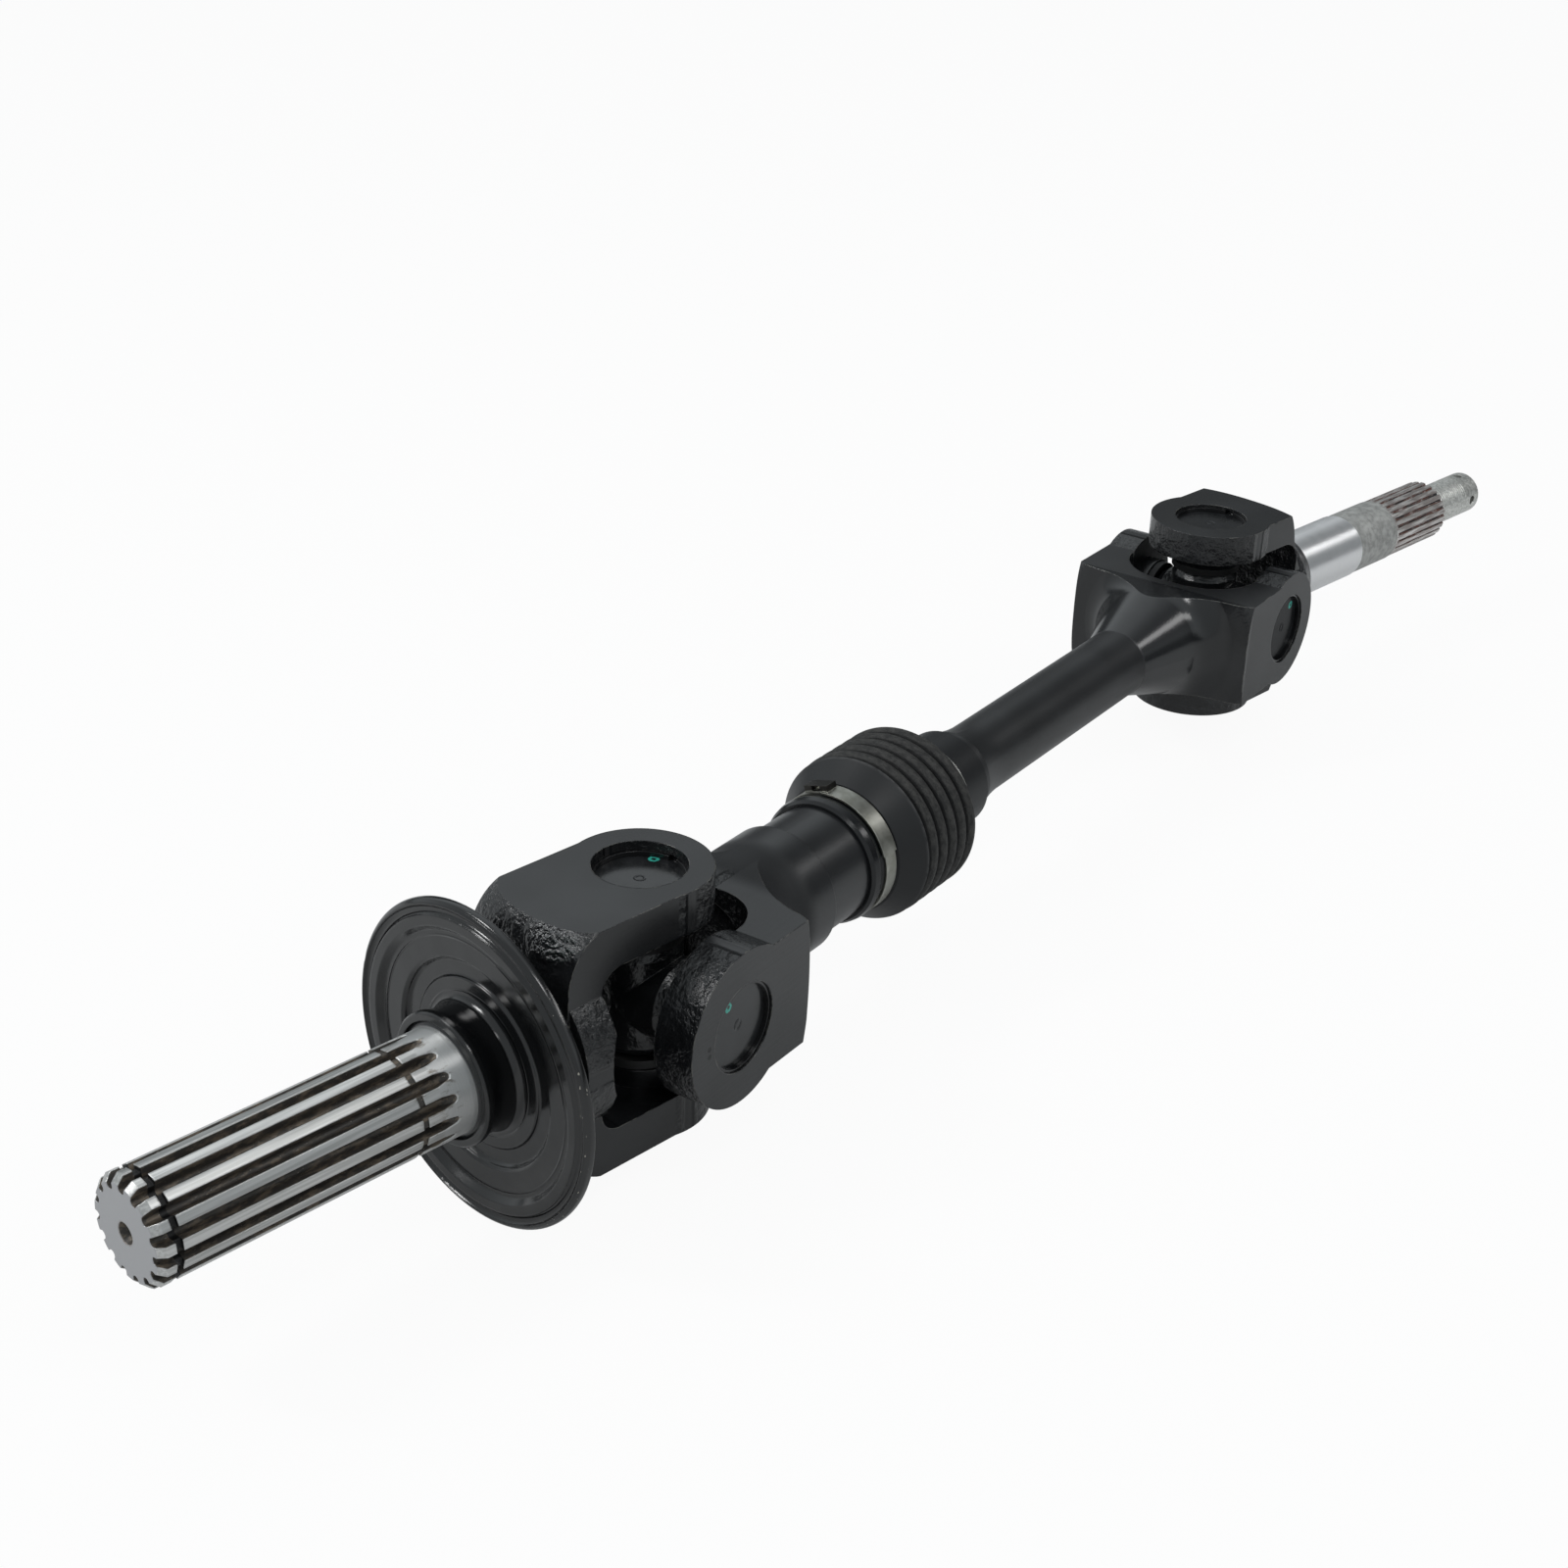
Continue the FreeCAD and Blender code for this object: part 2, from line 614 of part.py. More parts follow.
def band_clamp(seat_r, x0, x1, step, ear_angle):
    """Sheet band whose outer end laps over the inner one, with a crimped ear."""
    r0 = seat_r + boot_seat_gap
    r1 = r0 + clamp_sheet
    r2 = r1 + clamp_sheet
    band = ring(r1, r0, x0 + step, x1)
    lap = ring(r2, r1, x0, x1)
    reach = 2 * r2
    a0 = math.radians(clamp_overlap_start)
    a1 = math.radians(clamp_overlap_end)
    mid = (a0 + a1) / 2
    corners = [HERE] + [V(0, -reach * math.cos(a), reach * math.sin(a)) for a in (a0, mid, a1)] + [HERE]
    sector = Part.Face(Part.makePolygon(corners)).extrude(V(x1 - x0, 0, 0))
    sector.translate(V(x0, 0, 0))
    lap = lap.common(sector)
    inset = (x1 - x0) * 0.14
    ear = Part.makeBox(x1 - x0 - 2 * inset, clamp_ear_length, clamp_ear_height + clamp_sheet,
                       V(x0 + inset, -clamp_ear_length / 2, r1 - 0.2))
    slot = Part.makeBox(x1 - x0, clamp_ear_length * 0.34, clamp_ear_height,
                        V(x0, -clamp_ear_length * 0.17, r1 + clamp_sheet * 0.6))
    ear = turn_x(ear.cut(slot), 90 - ear_angle)
    return band.fuse(lap).fuse(ear).removeSplitter()


def arms(name, piece, out):
    """Two copies of a piece in the stub fork (up, down), two the other way round in the middle fork."""
    turned_round = turn_z(piece, 180)
    out[name + "_top"] = piece
    out[name + "_bottom"] = turn_x(piece, 180)
    out[name + "_front"] = turn_x(turned_round, 90)
    out[name + "_rear"] = turn_x(turned_round, 270)


def joint_bearings(prefix):
    out = {}
    arms(prefix + "_cup", bearing_cup(), out)
    arms(prefix + "_needles", needle_set(), out)
    arms(prefix + "_seal", trunnion_seal(), out)
    arms(prefix + "_snap_ring", snap_ring(), out)
    return out


def to_ground(shape):
    """Origin at the middle of the footprint, on the surface that the shield's rim rests on."""
    sin_b = math.sin(math.radians(bend_angle))
    cos_b = math.cos(math.radians(bend_angle))
    left = -inner_end * cos_b - (collar_r - end_chamfer) * sin_b
    right = joint_spacing + outer_end * cos_b + (thread_r - nose_chamfer) * sin_b
    rim_x = dish_x + 2 * step_height + shield_sheet
    back = rim_x * sin_b + shield_r * cos_b
    front = -(outer_end - nose_chamfer) * sin_b - thread_r * cos_b
    out = shape.copy()
    out.translate(V(-(left + right) / 2, -(back + front) / 2, shield_r))
    return out


def save(name, shape):
    to_ground(shape).exportStep("parts/" + name + ".step")


def main():
    bent = {"inner_stub_yoke": inner_stub_yoke(), "dust_shield": dust_shield()}
    for name, shape in bent.items():
        save(name, turn_z(shape, -bend_angle))
    save("outer_stub_yoke", placed(turn_z(outer_stub_yoke(), -bend_angle), joint_spacing))
    save("slip_yoke", slip_yoke())
    save("slip_yoke_plug", slip_yoke_plug())
    save("shaft_yoke", shaft_yoke())
    save("boot", boot())
    save("large_clamp", band_clamp(boot_band_r, boot_band_start + clamp_side_gap,
                                   boot_band_end - clamp_side_gap, clamp_step, 106))
    save("small_clamp", band_clamp(small_cuff_r - 0.6, small_band_start + clamp_side_gap,
                                   small_band_end - clamp_side_gap, 0, 98))
    save("inner_cross", cross())
    save("outer_cross", placed(cross(), joint_spacing))
    for prefix, at in (("inner", 0), ("outer", joint_spacing)):
        for name, shape in joint_bearings(prefix).items():
            follows_stub = name.endswith("_top") or name.endswith("_bottom")
            turned_piece = turn_z(shape, -bend_angle) if follows_stub else shape
            save(name, placed(turned_piece, at))


main()
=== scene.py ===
"""Looks of the rear drive shaft: materials, small parts, floor, light and camera."""
import json
import math

import bpy
from mathutils import Matrix, Vector

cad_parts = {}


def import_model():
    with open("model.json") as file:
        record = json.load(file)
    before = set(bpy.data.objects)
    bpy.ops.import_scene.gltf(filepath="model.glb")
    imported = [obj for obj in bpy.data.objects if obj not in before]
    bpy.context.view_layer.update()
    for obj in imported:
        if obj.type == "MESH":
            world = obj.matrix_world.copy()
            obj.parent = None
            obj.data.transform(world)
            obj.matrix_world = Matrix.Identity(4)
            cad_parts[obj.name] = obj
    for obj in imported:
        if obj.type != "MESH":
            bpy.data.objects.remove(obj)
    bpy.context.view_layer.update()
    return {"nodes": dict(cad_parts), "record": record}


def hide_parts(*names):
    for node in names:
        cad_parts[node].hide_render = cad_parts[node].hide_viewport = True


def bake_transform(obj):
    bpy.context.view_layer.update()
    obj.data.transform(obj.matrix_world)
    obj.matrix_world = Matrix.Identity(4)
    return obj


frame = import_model()
NODES = frame["nodes"]
SCENE = bpy.context.scene
SCENE.view_settings.view_transform = "Standard"

# The two joint centres in metres, and the bend of the stubs
JOINT_SPAN = 0.370
J1 = Vector(frame["record"]["behaviour"]["joints"][0]["pos_m"])
J2 = J1 + Vector((JOINT_SPAN, 0, 0))
BEND = math.radians(9.4)
MM = 0.001

# Painted black, bare steel and grime, shared by several materials
BLACK = (0.0048, 0.0052, 0.0058)
BLACK_WORN = (0.0108, 0.0114, 0.0124)
BRIGHT = (0.56, 0.56, 0.55)
DULL = (0.42, 0.42, 0.41)
GRIME = (0.040, 0.036, 0.032)
BROWN = (0.135, 0.108, 0.080)
RUST = (0.17, 0.075, 0.055)
CHIP = (0.16, 0.155, 0.14)
TEAL = (0.03, 0.30, 0.24)

# Paint: gloss, roughness of machined and of forged faces, depth of its lumps, rounding of edges
PAINT_GLOSS = 0.5
FACE_ROUGHNESS = 0.27
CAST_ROUGHNESS = 0.14
PAINT_DEPTH = 0.55 * MM
EDGE_RADIUS = 0.55 * MM

# Turned steel: how far its glints are drawn out, and their turn as a share of a full one
STREAK = 0.85
QUARTER_TURN = 0.25

# Places and radii in mm. Places run along the axis of the stub, the yoke or the boot from the
# joint that it starts at. A pair is where a change starts and where it is complete, or the two
# ends of a zone. On the spline's end chamfer the grooves' radius is their place plus the rise.
INNER_FORGED = (-56, -50)
INNER_BARE = (-73.2, -73.8)
INNER_COLLAR = (-84.4, -83.8)
INNER_RUNOUT = (-92, -78.5)
INNER_RING = (-166.6, -164.6)
INNER_FACE = (-171.25, -171.42)
INNER_GROOVE_RISE = 184.8
INNER_GROOVE_R = 15.4
ROUGH_PATCH = (-43.2, -8.2, 37.5)
ROUGH_PATCH_R = (8.0, 5.0)
OUTER_FORGED = (50, 44)
OUTER_BARE = (54.9, 55.3)
OUTER_TURNED = (101, 100)
OUTER_DULL = (100.1, 128.5)
OUTER_SPLINE = (128.5, 169.9)
OUTER_END = (170.0, 170.4)
OUTER_FLANK_R = (12.95, 12.6)
OUTER_GROOVE_R = (12.75, 12.35)
THREAD = (175, 195)
THREAD_PITCH = 1.5
SLIP_FORGED = (44, 36)
SLIP_HOLLOW = (38, 59)
TUBE_GRAIN = (50, 40)
SHAFT_FORGED = (-38.5, -36.0)
SHAFT_CONE = (-74.0, -36.0)
SHIELD_RIM_R = (45.5, 49.5)
SHIELD_CREASES_R = (21.5, 25.2, 31.0, 37.8, 44.6, 48.6)
# Painted highlight along the boot's first crest: its zone along the boot
BOOT_CUFF = (98.6, 98.2)
BOOT_CREST_HIGHLIGHT = (114.6, 116.0)
# Painted shade in the boot's fold valleys: its zone along the boot here, its radius two lines below
BOOT_SHADED_VALLEYS = (115.8, 146.0)
BOOT_FOLDS = (116.6, 150.0)
BOOT_SHADED_VALLEY_R = (27.4, 26.6)
BOOT_RIDGE_R = (26.8, 28.4)
LARGE_EAR_R = 22.5
SMALL_EAR_R = 18.9

# Marking paint on three cups
DABS = {("inner", "top"): (11.3, 3.8, 35.5), ("inner", "front"): (-4.9, -35.5, 8.2),
        ("outer", "front"): (6.4, -35.5, 7.6)}

# Painted shade: dark spots where the gaps at the front snap ring's ends show beside the slip yoke's ear
RING_END_SHADE = [(-16.6, -37.7, 0.9), (-16.5, -37.7, -1.6)]

# Floor in metres, and how white it and the studio are at least, to the camera and in reflections
FLOOR_REACH = 12.0
FLOOR_GREY = (0.64, 0.64, 0.64)
FLOOR_SEEN = 0.94
MIRRORED = 0.1
COOL_WHITE = (0.91, 0.97, 1.0, 1)
PURE_WHITE = (1, 1, 1, 1)

# Studio: a direction, how far the view turns towards it over a change, and the two levels
DIM_CORNER = ((0.78, -0.415, 0.469), (0.68, 0.93), (0.96, 0.16))
CAMERA_SIDE = ((-1, 0, 0), (-0.3, 0.6), (1.0, 0.65))
LOW_BAND = ((-0.5, 0, 1), (-0.03, 0.16), (0.1, 1.0))

# Soft boxes: turn and height angle in degrees as seen from the part, width, height, power
LAMP_DISTANCE = 1.5
LAMPS = {"key": (-56, 42, 0.9, 0.24, 3.6), "overhead": (238, 62, 0.36, 0.26, 3.0),
         "glint": (137, 44, 0.3, 0.3, 6.0)}

# Camera: sensor and lens in mm, place from the inner joint in metres, directions of its axes
SENSOR_WIDTH = 36.0
LENS = 55.503
CAMERA_AT = Vector((-0.478141, -0.36835, 0.371252))
CAMERA_RIGHT = Vector((0.569993, -0.820971, 0.03338))
CAMERA_UP = Vector((0.353438, 0.281659, 0.892048))
CAMERA_AHEAD = Vector((0.741748, 0.496664, -0.450706))


class Graph:
    """Short names for the shader nodes that the materials use."""

    def __init__(self, name):
        self.mat = bpy.data.materials.new(name)
        self.mat.use_nodes = True
        self.tree = self.mat.node_tree
        self.bsdf = self.tree.nodes["Principled BSDF"]

    def add(self, kind, **props):
        node = self.tree.nodes.new("ShaderNode" + kind)
        for key, value in props.items():
            setattr(node, key, value)
        return node

    def link(self, value, socket):
        if isinstance(value, bpy.types.NodeSocket):
            self.tree.links.new(value, socket)
        elif isinstance(value, (tuple, list)) and len(value) == 3 and socket.type == "RGBA":
            socket.default_value = (*value, 1)
        else:
            socket.default_value = value

    def math(self, op, a, b=0.0):
        node = self.add("Math", operation=op)
        self.link(a, node.inputs[0])
        self.link(b, node.inputs[1])
        return node.outputs[0]

    def times(self, a, b):
        return self.math("MULTIPLY", a, b)

    def flip(self, a):
        return self.math("SUBTRACT", 1.0, a)

    def plus(self, a, b):
        return self.math("ADD", a, b)

    def most(self, *values):
        out = values[0]
        for value in values[1:]:
            out = self.math("MAXIMUM", out, value)
        return out

    def mix(self, fac, a, b):
        node = self.add("Mix", data_type="RGBA")
        self.link(fac, node.inputs["Factor"])
        self.link(a, node.inputs[6])
        self.link(b, node.inputs[7])
        return node.outputs[2]

    def blend(self, fac, a, b):
        node = self.add("Mix", data_type="FLOAT")
        self.link(fac, node.inputs["Factor"])
        self.link(a, node.inputs[2])
        self.link(b, node.inputs[3])
        return node.outputs[0]

    def local(self, origin, turn):
        """Millimetres along, across and above an axis that starts at origin."""
        node = self.add("Mapping", vector_type="TEXTURE")
        self.link(self.add("TexCoord").outputs["Object"], node.inputs["Vector"])
        node.inputs["Location"].default_value = origin
        node.inputs["Rotation"].default_value = (0, 0, turn)
        node.inputs["Scale"].default_value = (MM, MM, MM)
        return node.outputs[0]

    def local_normal(self, turn):
        node = self.add("Mapping", vector_type="VECTOR")
        self.link(self.add("TexCoord").outputs["Normal"], node.inputs["Vector"])
        node.inputs["Rotation"].default_value = (0, 0, -turn)
        return self.split(node.outputs[0])

    def split(self, vector):
        node = self.add("SeparateXYZ")
        self.link(vector, node.inputs[0])
        return node.outputs

    def stretch(self, vector, scale):
        node = self.add("Mapping")
        self.link(vector, node.inputs["Vector"])
        node.inputs["Scale"].default_value = scale
        return node.outputs[0]

    def noise(self, vector, scale, detail=3.0, rough=0.5):
        node = self.add("TexNoise")
        self.link(vector, node.inputs["Vector"])
        node.inputs["Scale"].default_value = scale
        node.inputs["Detail"].default_value = detail
        node.inputs["Roughness"].default_value = rough
        return node.outputs["Fac"]

    def step(self, value, low, high, out_low=0.0, out_high=1.0):
        node = self.add("MapRange", interpolation_type="SMOOTHSTEP")
        self.link(value, node.inputs["Value"])
        node.inputs["From Min"].default_value = low
        node.inputs["From Max"].default_value = high
        node.inputs["To Min"].default_value = out_low
        node.inputs["To Max"].default_value = out_high
        return node.outputs["Result"]

    def between(self, value, low, high, soft):
        rise = self.step(value, low - soft, low + soft)
        return self.times(rise, self.step(value, high + soft, high - soft))

    def distance(self, vector, point):
        node = self.add("VectorMath", operation="DISTANCE")
        self.link(vector, node.inputs[0])
        node.inputs[1].default_value = point
        return node.outputs["Value"]

    def radius(self, parts):
        """Distance from the axis that the first of the three parts runs along."""
        return self.length(parts[1], parts[2])

    def length(self, a, b):
        return self.math("SQRT", self.plus(self.times(a, a), self.times(b, b)))

    def bump(self, height, distance, normal=None):
        node = self.add("Bump")
        self.link(height, node.inputs["Height"])
        node.inputs["Distance"].default_value = distance
        if normal is not None:
            self.link(normal, node.inputs["Normal"])
        return node.outputs[0]

    def soft_edges(self, radius):
        node = self.add("Bevel", samples=6)
        node.inputs["Radius"].default_value = radius
        return node.outputs[0]

    def worn_edges(self, soft, point, low, high):
        """One in places along sharp edges; soft is the rounded normal."""
        node = self.add("VectorMath", operation="DOT_PRODUCT")
        self.link(soft, node.inputs[0])
        self.link(self.add("NewGeometry").outputs["Normal"], node.inputs[1])
        edge = self.step(node.outputs["Value"], 0.975, 0.9)
        return self.times(edge, self.step(self.noise(point, 0.22, 5.0, 0.6), low, high))

    def around(self, turn):
        """Direction around an axis that lies at the given turn."""
        node = self.add("VectorMath", operation="CROSS_PRODUCT")
        self.link(self.add("NewGeometry").outputs["Normal"], node.inputs[0])
        node.inputs[1].default_value = (math.cos(turn), math.sin(turn), 0)
        return node.outputs["Vector"]

    def set(self, **sockets):
        for key, value in sockets.items():
            self.link(value, self.bsdf.inputs[key.replace("_", " ")])
        return self.mat


def dress(names, mat):
    for name in names:
        for slot in NODES[name].material_slots:
            slot.link = "OBJECT"
            slot.material = mat


def cast_mask(g, turn):
    """One on surfaces left as forged, nothing on the faces machined square to the part's axes."""
    nx, ny, nz = g.local_normal(turn)
    flat = g.step(g.most(g.math("ABSOLUTE", ny), g.math("ABSOLUTE", nz)), 0.992, 0.999)
    return g.flip(flat)


class Coat:
    """Black paint over a forging: lumpy where left as forged, even where machined."""

    def __init__(self, g, point, cast, roughness):
        broad = g.noise(point, 0.035, 2.0)
        grain = g.noise(point, 1.05, 3.0, 0.55)
        lumps = g.noise(point, 0.22, 2.0)
        paint = g.mix(g.step(broad, 0.35, 0.65), BLACK, BLACK_WORN)
        self.roughness = roughness
        even = g.times(g.noise(point, 1.4, 3.0), 0.03)
        rough = g.plus(g.times(grain, 0.6), g.times(lumps, 1.8))
        self.height = g.blend(cast, even, rough)
        self.soft = g.soft_edges(EDGE_RADIUS)
        self.gloss = PAINT_GLOSS
        chip = g.worn_edges(self.soft, point, 0.48, 0.56)
        self.colour = g.mix(g.times(chip, 0.7), paint, CHIP)


def coated(g, coat):
    normal = g.bump(coat.height, PAINT_DEPTH, coat.soft)
    return g.set(Base_Color=coat.colour, Roughness=coat.roughness, Normal=normal,
                 Specular_IOR_Level=coat.gloss)


def finish_metal(g, coat, bare, colour, roughness, metal, height, turned):
    """Paint where bare is nothing, metal where it is one, with drawn-out glints where turned."""
    lift = g.blend(bare, coat.height, height)
    normal = g.bump(lift, PAINT_DEPTH, coat.soft)
    return g.set(Base_Color=g.mix(bare, coat.colour, colour),
                 Roughness=g.blend(bare, coat.roughness, roughness),
                 Metallic=g.times(bare, metal), Normal=normal, Tangent=g.around(-BEND),
                 Anisotropic=g.times(g.times(bare, turned), STREAK), Anisotropic_Rotation=QUARTER_TURN,
                 Specular_IOR_Level=g.blend(bare, coat.gloss, 0.5))


def groove_dirt(g, p, patch):
    """Colour of the grooves' grime with brown patches and pale flecks, and how metallic it is."""
    dirt = g.mix(g.step(patch, 0.44, 0.66), GRIME, BROWN)
    fleck = g.step(g.noise(g.stretch(p, (0.5, 1, 1)), 1.9, 3.0), 0.66, 0.72)
    return g.mix(g.times(fleck, 0.6), dirt, (0.30, 0.28, 0.25)), g.blend(fleck, 0.35, 0.9)


def pebble(g, p, forged, coat):
    """A pebbled, glossier patch of paint on the fork's flank."""
    away = g.distance(g.stretch(p, (1.0, 0.7, 1.0)), ROUGH_PATCH)
    pebbled = g.times(forged, g.step(away, *ROUGH_PATCH_R))
    coat.height = g.plus(coat.height, g.times(g.times(pebbled, g.noise(p, 0.65, 2.0)), 2.4))
    coat.gloss = g.blend(pebbled, PAINT_GLOSS, 1.0)


def inner_stub():
    """Painted fork and hub, bare ground spline with dirty grooves and a bright collar."""
    g = Graph("inner_stub_finish")
    p = g.local(J1, -BEND)
    parts = g.split(p)
    x, r = parts[0], g.radius(parts)
    forged = g.times(cast_mask(g, -BEND), g.step(x, *INNER_FORGED))
    coat = Coat(g, p, forged, g.blend(forged, FACE_ROUGHNESS, CAST_ROUGHNESS))
    pebble(g, p, forged, coat)
    bare = g.step(x, *INNER_BARE)
    threshold = g.math("MINIMUM", g.plus(x, INNER_GROOVE_RISE), INNER_GROOVE_R)
    face = g.step(x, *INNER_FACE)
    groove = g.times(g.step(g.math("SUBTRACT", r, threshold), 0.14, -0.06), g.flip(face))
    streaks = g.noise(g.stretch(p, (0.03, 1.3, 1.3)), 1.0, 3.0)
    turned = g.noise(g.stretch(p, (5.0, 0.1, 0.1)), 1.0, 2.0)
    ground = g.mix(g.step(streaks, 0.38, 0.62), DULL, BRIGHT)
    collar = g.step(x, *INNER_COLLAR)
    ground = g.mix(collar, ground, g.mix(turned, (0.47, 0.475, 0.47), (0.53, 0.535, 0.53)))
    patch = g.noise(g.stretch(p, (0.35, 1.0, 1.0)), 0.55, 4.0, 0.65)
    dirt, dirt_metal = groove_dirt(g, p, patch)
    stain = g.times(face, g.step(g.plus(r, g.times(patch, 2.0)), 4.6, 3.4))
    steel = g.mix(face, ground, (0.43, 0.43, 0.44))
    steel = g.mix(stain, steel, (0.20, 0.13, 0.08))
    steel = g.mix(groove, steel, dirt)
    black_ring = g.between(x, *INNER_RING, 0.1)
    steel = g.mix(g.times(groove, black_ring), steel, (0.004, 0.004, 0.004))
    runout = g.times(g.between(x, *INNER_RUNOUT, 1.0), g.step(patch, 0.52, 0.66))
    steel = g.mix(g.times(runout, 0.7), steel, BROWN)
    ground_rough = g.blend(collar, g.step(streaks, 0.3, 0.7, 0.34, 0.42), 0.46)
    roughness = g.blend(groove, g.blend(face, ground_rough, 0.42), 0.5)
    metal = g.blend(groove, 1.0, dirt_metal)
    grind = g.blend(collar, g.times(streaks, 0.03), g.times(turned, 0.11))
    height = g.blend(groove, grind, g.times(patch, 0.35))
    return finish_metal(g, coat, bare, steel, roughness, metal, height, g.flip(g.most(face, groove)))


def fine_spline(g, r, flank, cloud, streak):
    """Pale worn tops, rusty flanks and black grooves."""
    top = g.mix(g.step(streak, 0.4, 0.62), (0.40, 0.36, 0.345), (0.70, 0.68, 0.66))
    rusty = g.mix(g.step(streak, 0.38, 0.6), RUST, (0.32, 0.22, 0.195))
    spline = g.mix(g.times(flank, g.step(cloud, 0.34, 0.52)), top, rusty)
    groove = g.step(r, *OUTER_GROOVE_R)
    return g.mix(g.times(groove, g.step(streak, 0.40, 0.58)), spline, (0.035, 0.033, 0.034))


def thread_ridges(g, p, x):
    """Ridges one pitch apart: the texture repeats every tenth of pi divided by its scale."""
    ridges = g.add("TexWave", wave_type="BANDS", bands_direction="X")
    g.link(p, ridges.inputs["Vector"])
    ridges.inputs["Scale"].default_value = math.pi / THREAD_PITCH / 10
    return g.times(g.times(ridges.outputs["Fac"], g.between(x, *THREAD, 0.5)), 0.35)


def outer_stub():
    """Painted fork, bright journal, dull seat, rusty fine spline and mottled threaded end."""
    g = Graph("outer_stub_finish")
    p = g.local(J2, -BEND)
    parts = g.split(p)
    x, r = parts[0], g.radius(parts)
    forged = g.times(cast_mask(g, -BEND), g.step(x, *OUTER_FORGED))
    coat = Coat(g, p, forged, g.blend(forged, FACE_ROUGHNESS, CAST_ROUGHNESS))
    bare = g.step(x, *OUTER_BARE)
    turned = g.noise(g.stretch(p, (7.0, 0.1, 0.1)), 1.0, 2.0)
    journal = g.mix(turned, (0.70, 0.70, 0.71), (0.84, 0.84, 0.84))
    cloud = g.noise(p, 0.35, 4.0, 0.6)
    dull = g.mix(g.step(cloud, 0.3, 0.7), (0.29, 0.29, 0.28), (0.46, 0.46, 0.445))
    on_dull = g.between(x, *OUTER_DULL, 0.15)
    on_spline = g.between(x, *OUTER_SPLINE, 0.15)
    on_end = g.step(x, *OUTER_END)
    streak = g.noise(g.stretch(p, (0.12, 1.0, 1.0)), 0.9, 3.0)
    flank = g.step(r, *OUTER_FLANK_R)
    end = g.mix(g.step(g.noise(p, 0.9, 4.0, 0.6), 0.4, 0.62), (0.48, 0.48, 0.455), (0.72, 0.72, 0.69))
    steel = g.mix(on_dull, journal, dull)
    steel = g.mix(on_spline, steel, fine_spline(g, r, flank, cloud, streak))
    steel = g.mix(on_end, steel, end)
    roughness = g.blend(on_dull, g.step(turned, 0.3, 0.7, 0.28, 0.36), 0.62)
    roughness = g.blend(on_spline, roughness, g.blend(flank, 0.42, 0.7))
    roughness = g.blend(on_end, roughness, 0.46)
    metal = g.blend(g.times(on_spline, flank), 1.0, 0.25)
    metal = g.blend(on_dull, metal, 0.75)
    height = g.times(g.blend(on_dull, turned, cloud), 0.09)
    height = g.blend(on_end, g.blend(on_spline, height, streak), thread_ridges(g, p, x))
    return finish_metal(g, coat, bare, steel, roughness, metal, height, g.step(x, *OUTER_TURNED))


def slip_yoke():
    """Forged fork, a dull hollow behind it and a drawn tube."""
    g = Graph("slip_yoke_finish")
    p = g.local(J1, 0.0)
    x = g.split(p)[0]
    forged = g.times(cast_mask(g, 0.0), g.step(x, *SLIP_FORGED))
    hollow = g.between(x, *SLIP_HOLLOW, 4.0)
    coat = Coat(g, p, forged, g.blend(forged, g.blend(hollow, 0.3, 0.6), CAST_ROUGHNESS))
    grain = g.noise(g.stretch(p, (0.05, 0.9, 0.9)), 1.0, 3.0)
    coat.height = g.plus(coat.height, g.times(grain, g.step(x, *TUBE_GRAIN, 0.0, 0.10)))
    # Painted shade of the front snap ring's end gaps: near-black, less glossy spots on the paint
    ring_end_shade = g.most(*[g.step(g.distance(p, end), 1.0, 0.7) for end in RING_END_SHADE])
    coat.colour = g.mix(ring_end_shade, coat.colour, (0.001, 0.001, 0.001))
    coat.gloss = g.blend(g.most(hollow, ring_end_shade), PAINT_GLOSS, 0.3)
    return coated(g, coat)


def shaft_yoke():
    """Satin slim shaft, glossier cone and forged fork."""
    g = Graph("shaft_yoke_finish")
    p = g.local(J2, 0.0)
    x = g.split(p)[0]
    forged = g.times(cast_mask(g, 0.0), g.step(x, *SHAFT_FORGED))
    cone = g.between(x, *SHAFT_CONE, 0.6)
    coat = Coat(g, p, forged, g.blend(forged, g.blend(cone, 0.4, 0.16), CAST_ROUGHNESS))
    return coated(g, coat)


def cross():
    """Half-smooth forging, evenly glossy."""
    g = Graph("cross_finish")
    p = g.local(J1, 0.0)
    return coated(g, Coat(g, p, 0.55, 0.2))


def cup(name, centre, across, dab, gloss):
    """Face along X and across, with a small ring at its middle and, on some, a dab of paint."""
    g = Graph(name)
    p = g.local(centre, 0.0)
    parts = g.split(p)
    mark = g.between(g.length(parts["X"], parts[across]), 1.1, 1.7, 0.25)
    colour = g.mix(g.step(g.noise(p, 0.1, 2.0), 0.4, 0.6), BLACK, BLACK_WORN)
    if dab:
        ragged = g.plus(g.distance(p, dab), g.times(g.noise(p, 0.6, 2.0), 1.2))
        colour = g.mix(g.between(ragged, 1.25, 2.2, 0.15), colour, TEAL)
    height = g.plus(g.times(g.noise(p, 1.6, 2.0), 0.03), g.times(mark, -0.3))
    normal = g.bump(height, 0.5 * MM, g.soft_edges(0.5 * MM))
    return g.set(Base_Color=colour, Roughness=0.2, Normal=normal, Specular_IOR_Level=gloss)


def plain(name, colour, roughness, metallic=0.0):
    g = Graph(name)
    return g.set(Base_Color=colour, Roughness=roughness, Metallic=metallic, Specular_IOR_Level=0.5,
                 Normal=g.soft_edges(0.3 * MM))


